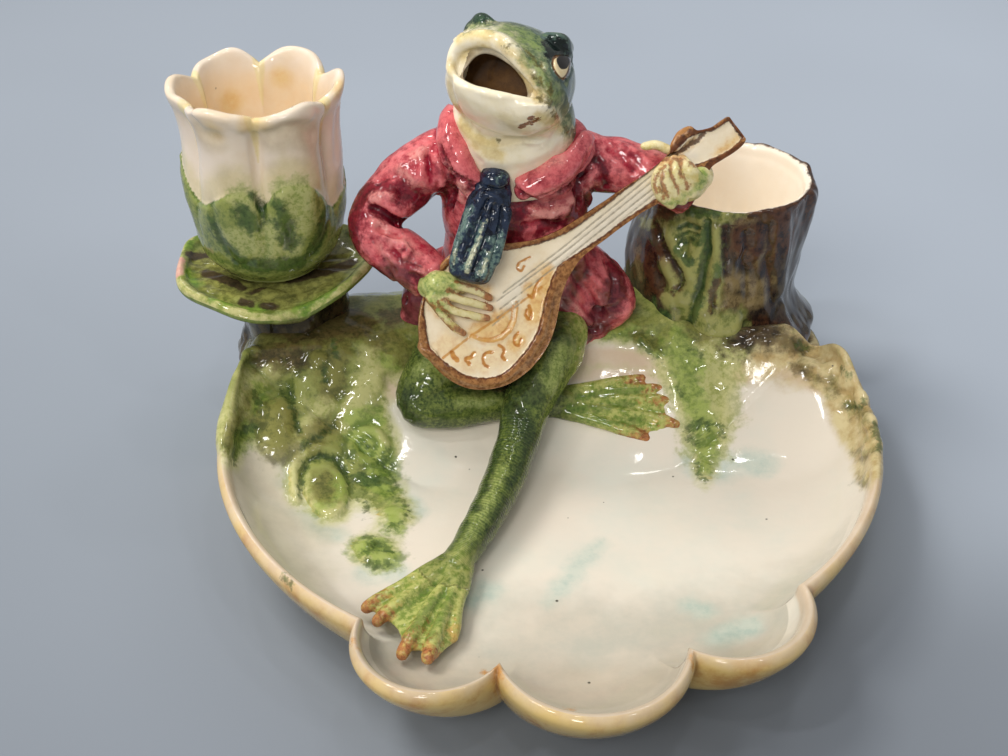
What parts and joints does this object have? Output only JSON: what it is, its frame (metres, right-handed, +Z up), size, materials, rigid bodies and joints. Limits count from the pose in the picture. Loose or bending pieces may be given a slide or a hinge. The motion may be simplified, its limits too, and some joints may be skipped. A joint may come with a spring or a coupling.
{
  "type": "figural ashtray",
  "caption": "Glazed earthenware ashtray: a seated frog plays a mandolin behind a scalloped dish, between a flower-shaped cup and a tree-stump cup.",
  "frame": {"origin": "on the flat underside, on the upright plane through the middle of the dish's front lobe, about 14 mm behind the middle of the dish", "axes": "+Z up out of the dish, -Y towards the front lobe and the way the frog looks, +X to the stump's side"},
  "size_m": [0.2487, 0.2443, 0.165],
  "materials": {
    "majolica_glaze": "glossy tin and lead glazes over cream earthenware: cream white with turquoise tinges inside the dish, mossy green and brown on the bank and stump, raspberry red coat"
  },
  "bodies": {
    "root": {"figural_ashtray": "majolica_glaze"}
  },
  "joints": []
}
